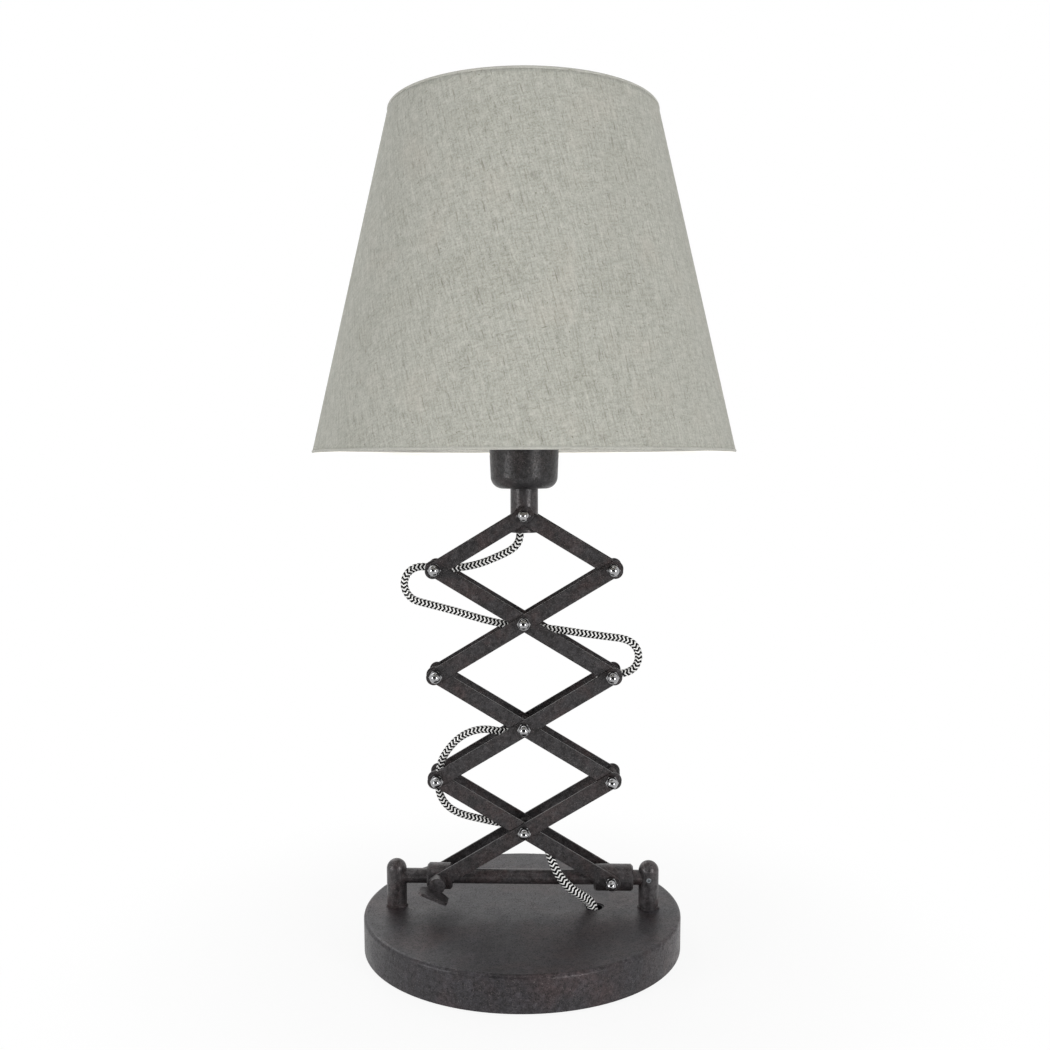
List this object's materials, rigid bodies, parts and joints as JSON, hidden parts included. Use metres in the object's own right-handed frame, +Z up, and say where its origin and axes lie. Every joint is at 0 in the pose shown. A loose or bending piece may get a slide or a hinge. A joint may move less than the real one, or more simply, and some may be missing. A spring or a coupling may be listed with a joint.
{
  "type": "accordion desk lamp",
  "caption": "Desk lamp on a round weighted base: a scissor linkage on a guide rod raises a stem, cupped lampholder and conical linen shade.",
  "frame": {"origin": "centre of the round base, on the surface it stands on", "axes": "+Z up; +X to the right, along the guide rod from the sliding collar to the fixed collar; -Y is the front, where the wing screw is"},
  "size_m": [0.2408, 0.2408, 0.4814],
  "materials": {
    "antique_metal": "matt antique black-brown, mottled",
    "cast_weight": "as cast",
    "felt": "black felt",
    "black_plastic": "satin",
    "chrome": "polished",
    "plated_steel": "zinc plated",
    "brass": "bright",
    "white_coat": "white powder coat",
    "linen": "slubby linen",
    "braid": "black and white zigzag braid"
  },
  "bodies": {
    "base": {"base_cover": "antique_metal", "base_weight": "cast_weight", "base_felt": "felt", "mains_bush": "black_plastic", "deck_bush": "black_plastic", "post_left": "antique_metal", "post_right": "antique_metal", "post_screws": "plated_steel", "rod_set_screws": "plated_steel", "guide_rod": "antique_metal", "fixed_collar": "antique_metal", "fixed_pivot_stud": "antique_metal", "fixed_pivot_nuts": "chrome", "flex_lower": "braid"},
    "falling_1": {"falling_arm_1_front": "antique_metal", "falling_arm_1_rear": "antique_metal"},
    "rising_1": {"rising_arm_1_front": "antique_metal", "rising_arm_1_rear": "antique_metal", "arm_bolts_1": "antique_metal", "arm_nuts_1": "chrome"},
    "slider": {"sliding_collar": "antique_metal", "slider_spacers": "antique_metal", "slider_rear_screw": "antique_metal"},
    "wing_screw": {"wing_screw": "antique_metal"},
    "rising_2": {"rising_arm_2_front": "antique_metal", "rising_arm_2_rear": "antique_metal", "arm_bolts_2": "antique_metal", "arm_nuts_2": "chrome", "flex_middle": "braid"},
    "falling_2": {"falling_arm_2_front": "antique_metal", "falling_arm_2_rear": "antique_metal"},
    "rising_3": {"rising_arm_3_front": "antique_metal", "rising_arm_3_rear": "antique_metal", "arm_bolts_3": "antique_metal", "arm_nuts_3": "chrome"},
    "falling_3": {"falling_arm_3_front": "antique_metal", "falling_arm_3_rear": "antique_metal", "flex_upper": "braid"},
    "rising_top": {"rising_top_arm_front": "antique_metal", "rising_top_arm_rear": "antique_metal", "top_bolts": "antique_metal", "top_nuts": "chrome"},
    "falling_top": {"falling_top_arm_front": "antique_metal", "falling_top_arm_rear": "antique_metal"},
    "head": {"stem": "antique_metal", "stem_bush": "black_plastic", "stem_pivot_stud": "antique_metal", "stem_pivot_nuts": "chrome", "nipple": "plated_steel", "holder_cup": "antique_metal", "lampholder_body": "black_plastic", "screw_shell": "brass", "centre_contact": "brass", "shade_frame": "white_coat", "shade_clamp_ring": "black_plastic", "shade_top_ring": "white_coat", "shade_cover": "linen", "flex_top": "braid"}
  },
  "joints": [
    {"name": "lift", "type": "hinge", "parent": "base", "child": "falling_1", "pos_m": [0.053, 0, 0.0405], "axis": [0, 1, 0], "range_deg": [-14.2, 33.8], "deforming": ["flex_top", "flex_upper", "flex_middle", "flex_lower"]},
    {"name": "cross_1", "type": "hinge", "parent": "falling_1", "child": "rising_1", "pos_m": [0.00168, 0, 0.07158], "axis": [0, 1, 0], "range_deg": [-67.65, 28.45]},
    {"name": "slider_pivot", "type": "hinge", "parent": "rising_1", "child": "slider", "pos_m": [-0.04964, 0, 0.0405], "axis": [0, 1, 0], "range_deg": [-14.25, 33.85]},
    {"name": "left_1", "type": "hinge", "parent": "falling_1", "child": "rising_2", "pos_m": [-0.04964, 0, 0.10266], "axis": [0, 1, 0], "range_deg": [-67.65, 28.45]},
    {"name": "cross_2", "type": "hinge", "parent": "rising_2", "child": "falling_2", "pos_m": [0.00168, 0, 0.13374], "axis": [0, 1, 0], "range_deg": [-28.45, 67.65]},
    {"name": "left_2", "type": "hinge", "parent": "falling_2", "child": "rising_3", "pos_m": [-0.04964, 0, 0.16483], "axis": [0, 1, 0], "range_deg": [-67.65, 28.45]},
    {"name": "cross_3", "type": "hinge", "parent": "rising_3", "child": "falling_3", "pos_m": [0.00168, 0, 0.19591], "axis": [0, 1, 0], "range_deg": [-28.45, 67.65]},
    {"name": "left_3", "type": "hinge", "parent": "falling_3", "child": "rising_top", "pos_m": [-0.04964, 0, 0.22699], "axis": [0, 1, 0], "range_deg": [-67.65, 28.45]},
    {"name": "right_3", "type": "hinge", "parent": "rising_3", "child": "falling_top", "pos_m": [0.053, 0, 0.22699], "axis": [0, 1, 0], "range_deg": [-28.45, 67.65]},
    {"name": "head_pivot", "type": "hinge", "parent": "rising_top", "child": "head", "pos_m": [0.00168, 0, 0.25807], "axis": [0, 1, 0], "range_deg": [-14.25, 33.85]},
    {"name": "wing_turn", "type": "hinge", "parent": "slider", "child": "wing_screw", "pos_m": [-0.04964, 0, 0.0405], "axis": [0, -1, 0], "range_deg": [0, 360]}
  ],
  "couplings": [
    {"joint": "cross_1", "follows": "lift", "ratio": -2},
    {"joint": "slider_pivot", "follows": "lift", "ratio": 1},
    {"joint": "left_1", "follows": "lift", "ratio": -2},
    {"joint": "cross_2", "follows": "lift", "ratio": 2},
    {"joint": "left_2", "follows": "lift", "ratio": -2},
    {"joint": "cross_3", "follows": "lift", "ratio": 2},
    {"joint": "left_3", "follows": "lift", "ratio": -2},
    {"joint": "right_3", "follows": "lift", "ratio": 2},
    {"joint": "head_pivot", "follows": "lift", "ratio": 1}
  ]
}
